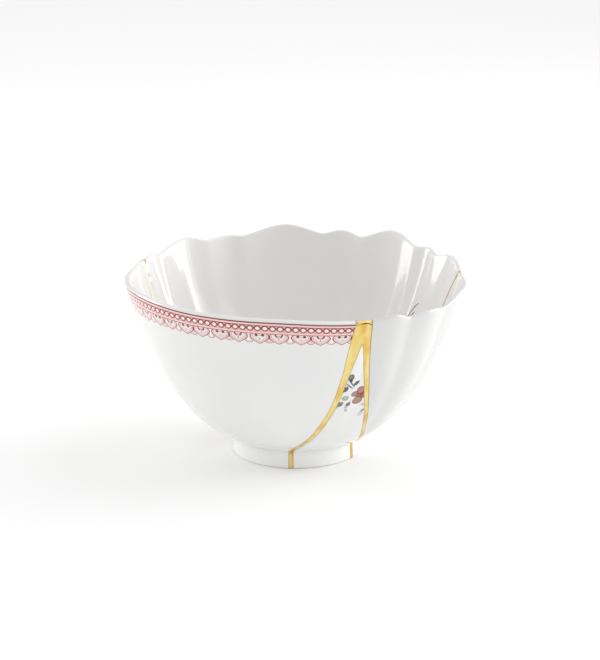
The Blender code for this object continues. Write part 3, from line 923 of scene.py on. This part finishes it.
def gold_lacquer(name, inner_tone=None):
    """Gold powder on lacquer: bright and a little uneven, brown where it thins out and folds over the lip."""
    material, tree, shader = new_finish(name)
    edge, down = surface_fact(tree, "edge_mm"), surface_fact(tree, "down_mm")
    depth, from_right = surface_fact(tree, "depth"), surface_fact(tree, "beside_mm")
    outer = depth.under(0.3, 0.1)
    strokes = noise(tree, 130, 3, (1, 1, 0.25))
    powder = noise(tree, 2400, 2)
    base = laid_over(tree, GOLD_DEEP, GOLD_PALE, strokes.rising(0.35, 0.62))
    base = laid_over(tree, base, GOLD_AMBER, noise(tree, 90, 2, (1, 1, 0.4)).rising(0.6, 0.72) * 0.5)
    on_crown = down.under(LIP_CROWN, 0.5)
    base = laid_over(tree, base, GOLD_CROWN, on_crown * 0.8)
    lean = FOLD_MIDDLE - from_right
    arch = down - LIP_FOLD - lean * lean * (0.02 + 0.12 * lean.rising(0, 1))
    fold = arch.size().under(0.32, 0.25) * edge.rising(0.1, 0.5)
    faint = 0.35 + 0.65 * from_right.under(6.5, 1.5)
    base = laid_over(tree, base, GOLD_BROWN, fold * faint * outer)
    inside = depth.rising(0.3, 0.6) * (1 if inner_tone else 0)
    base = laid_over(tree, base, GOLD_BROWN, edge.under(0.14, 0.12) * (0.95 - 0.6 * inside))
    shaded = from_right.under(0.38, 0.3) * outer * (0.45 + 0.4 * down.under(8, 5))
    base = laid_over(tree, base, GOLD_SHADED, shaded)
    metal = 0.9 - 0.3 * on_crown
    if inner_tone:
        base = laid_over(tree, base, inner_tone, inside * edge.rising(0.08, 0.2))
        metal = metal * (1 - 0.6 * inside)
    tree.links.new(base, shader.inputs["Base Color"])
    tree.links.new(metal.socket, shader.inputs["Metallic"])
    roughness = 0.20 + 0.16 * strokes + 0.08 * powder
    tree.links.new(roughness.socket, shader.inputs["Roughness"])
    bumped(tree, shader, strokes + 0.25 * powder, 0.35, 0.10 * MM)
    return material


# Pieces

def stand_for(piece, node):
    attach(piece, "root")
    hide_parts(node)


def make_shards(tree):
    inset = CLEARANCE / 2 - JOINT_LINE / 2
    # The scalloped shards' glaze carries painted shade on its outer face
    fluted = glaze("fluted_glaze", white=FLUTED_SHADED_WHITE, cloud=FLUTED_SHADED_CLOUD)
    banded = glaze("banded_glaze", border)
    flowered = glaze("flowered_glaze", sprig)

    fork_side = crack_side(FORK_LEFT, -1, inset)

    def banded_end(place, depth=0):
        return fork_side(place) + 360

    shards = (
        ("banded", crack_side(LEFT_CRACK, 1, inset), banded_end, 1, banded, "banded_glaze"),
        ("flowered", crack_side(FORK_LEFT, 1, inset), crack_side(FORK_RIGHT, -1, inset), tip_place(-0.2 * MM),
         flowered, "flowered_glaze"),
        ("fluted_front", crack_side(FORK_RIGHT, 1, inset), crack_side(RIGHT_CRACK, -1, inset), 1, fluted,
         "fluted_glaze"),
        ("fluted_back", crack_side(RIGHT_CRACK, 1, inset), crack_side(LEFT_CRACK, -1, inset), 1, fluted,
         "fluted_glaze"),
    )
    for name, left, right, top, finish, slot in shards:
        slabs = [lay_out(left, right, COLUMNS[name], top=top)]
        piece = bend(name + "_porcelain", slabs, tree, finish)
        stand_for(piece, name + "_shard")


def make_side_seams(tree):
    brown = gold_lacquer("worn_gold", inner_tone=colour(196, 172, 128))
    pale = gold_lacquer("pale_gold", inner_tone=colour(242, 236, 208))
    inset = CLEARANCE / 2 + JOINT_LINE / 2
    for name, crack, gold in (("gold_right", RIGHT_CRACK, brown), ("gold_left", LEFT_CRACK, pale)):
        slabs = [lay_out(crack_side(crack, -1, inset), crack_side(crack, 1, inset), COLUMNS["seam"],
                         hub=SEAM_START, gold=True, right_side=crack_side(crack, 1, inset))]
        piece = bend(name, slabs, tree, gold)
        stand_for(piece, name + "_seam")


def make_inner_crack(tree, gold):
    """The short gold line on the inside of the scalloped back shard, which has no solid of its own."""
    piece = bend("gold_inner_crack", [lay_ridge(INNER_CRACK, 60), lay_ridge(INNER_DAB, 12)], tree, gold)
    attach(piece, "root")


def make_fork(tree, gold):
    """The two legs, which share their inner side above the fork and swell there as one."""
    inset = CLEARANCE / 2 + JOINT_LINE / 2
    crotch = tip_place(-2 * inset)
    outer_left, outer_right = crack_side(FORK_LEFT, -1, inset), crack_side(FORK_RIGHT, 1, inset)
    inner_left, inner_right = crack_side(FORK_LEFT, 1, inset), crack_side(FORK_RIGHT, -1, inset)

    def middle(place):
        return (inner_left(place) + inner_right(place)) / 2

    def left_leg_end(place, depth=0):
        return middle(place) if place >= crotch else inner_left(place)

    def right_leg_end(place, depth=0):
        return middle(place) if place >= crotch else inner_right(place)

    def edge_at(azimuth, place):
        radius = crack_radius(place)
        from_outside = radians(min(azimuth - outer_left(place), outer_right(place) - azimuth)) * radius
        if place < crotch:
            from_inside = radians(max(left_leg_end(place) - azimuth, azimuth - right_leg_end(place))) * radius
        else:
            from_inside = hypot(radians(azimuth - middle(crotch)) * radius,
                                (below_lip(crotch) - below_lip(place)) * MM)
        return max(min(from_outside, from_inside), 0)

    slabs = [lay_out(left, right, COLUMNS["leg"], hub=SEAM_START, gold=True, crotch=crotch, edge_at=edge_at,
                     right_side=outer_right)
             for left, right in ((outer_left, left_leg_end), (right_leg_end, outer_right))]
    piece = bend("gold_fork", slabs, tree, gold)
    stand_for(piece, "gold_fork_seam")


def make_hub(gold):
    """The pool of gold where the seams meet in the middle of the floor, which belongs to the forked seam."""
    side, top = HUB_RADIUS - JOINT_LINE, FOOT_RECESS + FLOOR_THICKNESS
    above = [Vector((side * share, 0, top + rise * MM)) for share, rise in HUB_CROWN]
    below = [Vector((side * share, 0, FOOT_RECESS - rise * MM)) for share, rise in reversed(HUB_CROWN)]
    skin = bmesh.new()
    line = [skin.verts.new(point) for point in above + below]
    edges = [skin.edges.new(pair) for pair in zip(line, line[1:])]
    bmesh.ops.spin(skin, geom=line + edges, cent=(0, 0, 0), axis=(0, 0, 1), angle=2 * pi,
                   steps=HUB_STEPS, use_merge=True)
    bmesh.ops.remove_doubles(skin, verts=skin.verts, dist=0.001 * MM)
    bmesh.ops.recalc_face_normals(skin, faces=skin.faces)
    mesh = bpy.data.meshes.new("gold_hub")
    skin.to_mesh(mesh)
    skin.free()
    far_from_all = {"edge_mm": 1, "down_mm": 100, "depth": 0, "beside_mm": 3}
    for fact, value in far_from_all.items():
        mesh.attributes.new(fact, "FLOAT", "POINT").data.foreach_set("value", [value] * len(mesh.vertices))
    mesh.materials.append(gold)
    mesh.shade_smooth()
    piece = bpy.data.objects.new("gold_hub", mesh)
    bpy.context.scene.collection.objects.link(piece)
    stand_for(piece, "gold_fork_seam")


def make_camera():
    lens = bpy.data.cameras.new("camera")
    lens.sensor_width = SENSOR_WIDTH
    lens.lens = SENSOR_WIDTH * FOCAL_SHARE
    camera = bpy.data.objects.new("camera", lens)
    back = Vector((0, -cos(radians(ELEVATION)), sin(radians(ELEVATION))))
    camera.location = AIM + back * DISTANCE
    camera.rotation_euler = (radians(90 - ELEVATION), 0, 0)
    bpy.context.scene.collection.objects.link(camera)
    bpy.context.scene.camera = camera


def make_box(name, azimuth, width, power):
    """A tall soft box that stands on the floor's level and faces the bowl."""
    lamp = bpy.data.lights.new(name, "AREA")
    lamp.shape = "RECTANGLE"
    lamp.size, lamp.size_y = width, BOX_HEIGHT
    lamp.energy = power
    box = bpy.data.objects.new(name, lamp)
    turn = radians(azimuth)
    box.location = (BOX_DISTANCE * cos(turn), BOX_DISTANCE * sin(turn), BOX_MIDDLE)
    box.rotation_euler = (radians(90), 0, radians(azimuth + 90))
    bpy.context.scene.collection.objects.link(box)


def make_screen(name, towards, strength):
    """A broad white screen, far away in a direction."""
    sun = bpy.data.lights.new(name, "SUN")
    sun.energy = strength
    sun.angle = SCREEN_SPREAD
    screen = bpy.data.objects.new(name, sun)
    screen.rotation_euler = Vector(towards).to_track_quat("Z", "Y").to_euler()
    bpy.context.scene.collection.objects.link(screen)


def make_studio():
    """A white floor in white air, with soft boxes and broad screens at the right, the left and the back."""
    mesh = bpy.data.meshes.new("studio_floor")
    corners = [(x * FLOOR_REACH, y * FLOOR_REACH, 0) for x, y in ((-1, -1), (1, -1), (1, 1), (-1, 1))]
    mesh.from_pydata(corners, [], [(0, 1, 2, 3)])
    floor = bpy.data.objects.new("studio_floor", mesh)
    bpy.context.scene.collection.objects.link(floor)
    material, tree, shader = new_finish("paper_white")
    grain = laid_over(tree, colour(255, 255, 255), colour(252, 252, 252), noise(tree, 300, 2))
    tree.links.new(grain, shader.inputs["Base Color"])
    shader.inputs["Roughness"].default_value = 0.8
    shader.inputs["Specular IOR Level"].default_value = 0.2
    shader.inputs["Emission Color"].default_value = (1, 1, 1, 1)
    shader.inputs["Emission Strength"].default_value = FLOOR_GLOW
    mesh.materials.append(material)

    world = bpy.data.worlds.new("studio_air")
    bpy.context.scene.world = world
    world.use_nodes = True
    sky = world.node_tree.nodes["Background"]
    sky.inputs["Color"].default_value = (1, 1, 1, 1)
    sky.inputs["Strength"].default_value = AIR_STRENGTH
    for name, (towards, strength) in SCREENS.items():
        make_screen(name, towards, strength)
    for name, (azimuth, width, power) in BOXES.items():
        make_box(name, azimuth, width, power)
    view = bpy.context.scene.view_settings
    view.view_transform = "Standard"
    view.look = "None"


make_camera()
make_studio()
bending_tree = make_bending_tree()
gold_finish = gold_lacquer("gold")
make_shards(bending_tree)
make_side_seams(bending_tree)
make_fork(bending_tree, gold_finish)
make_hub(gold_finish)
make_inner_crack(bending_tree, gold_lacquer("brown_gold", inner_tone=colour(112, 96, 76)))
